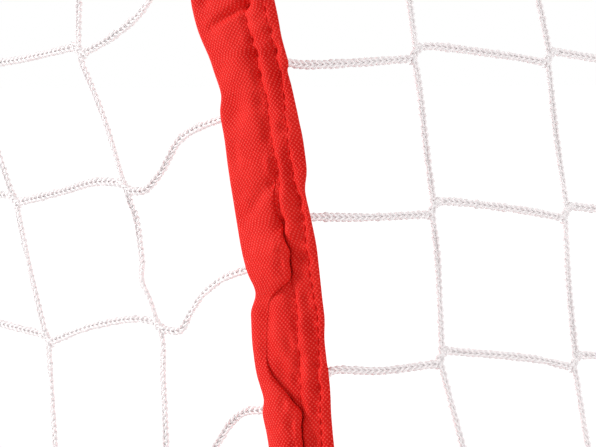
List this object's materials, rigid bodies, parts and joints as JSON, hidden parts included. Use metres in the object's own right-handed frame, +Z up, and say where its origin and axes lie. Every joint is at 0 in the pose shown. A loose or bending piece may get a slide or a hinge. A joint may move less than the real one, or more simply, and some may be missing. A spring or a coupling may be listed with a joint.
{
  "type": "hockey goal net",
  "caption": "Small street hockey goal: red steel tube frame in moulded sockets, white knotless netting hung on red fabric sleeves, folded red tape along the rear corners.",
  "frame": {"origin": "on the floor under the feet, in the middle of the footprint", "axes": "+X to the right seen from the front, +Y from the mouth towards the back net, +Z up"},
  "size_m": [0.7638, 0.3358, 0.5333],
  "materials": {
    "red_tube": "satin",
    "black_moulding": "matte",
    "foot_rubber": "matte",
    "white_netting": "matte",
    "red_fabric": "matte"
  },
  "bodies": {
    "root": {"back_netting": "white_netting", "back_support": "red_tube", "base_left_sleeve": "red_fabric", "base_rear_sleeve": "red_fabric", "base_rear_tube": "red_tube", "base_right_sleeve": "red_fabric", "crossbar": "red_tube", "crossbar_sleeve": "red_fabric", "left_base_rail": "red_tube", "left_foot_corner": "black_moulding", "left_netting": "white_netting", "left_post": "red_tube", "left_post_sleeve": "red_fabric", "left_rear_base_elbow": "black_moulding", "left_rear_seam": "red_fabric", "left_rear_top_elbow": "black_moulding", "left_top_arm": "red_tube", "left_top_corner": "black_moulding", "right_base_rail": "red_tube", "right_foot_corner": "black_moulding", "right_netting": "white_netting", "right_post": "red_tube", "right_post_sleeve": "red_fabric", "right_rear_base_elbow": "black_moulding", "right_rear_seam": "red_fabric", "right_rear_top_elbow": "black_moulding", "right_top_arm": "red_tube", "right_top_corner": "black_moulding", "rubber_feet": "foot_rubber", "support_base_tee": "black_moulding", "support_top_tee": "black_moulding", "top_left_sleeve": "red_fabric", "top_netting": "white_netting", "top_rear_sleeve": "red_fabric", "top_rear_tube": "red_tube", "top_right_sleeve": "red_fabric"}
  },
  "joints": []
}
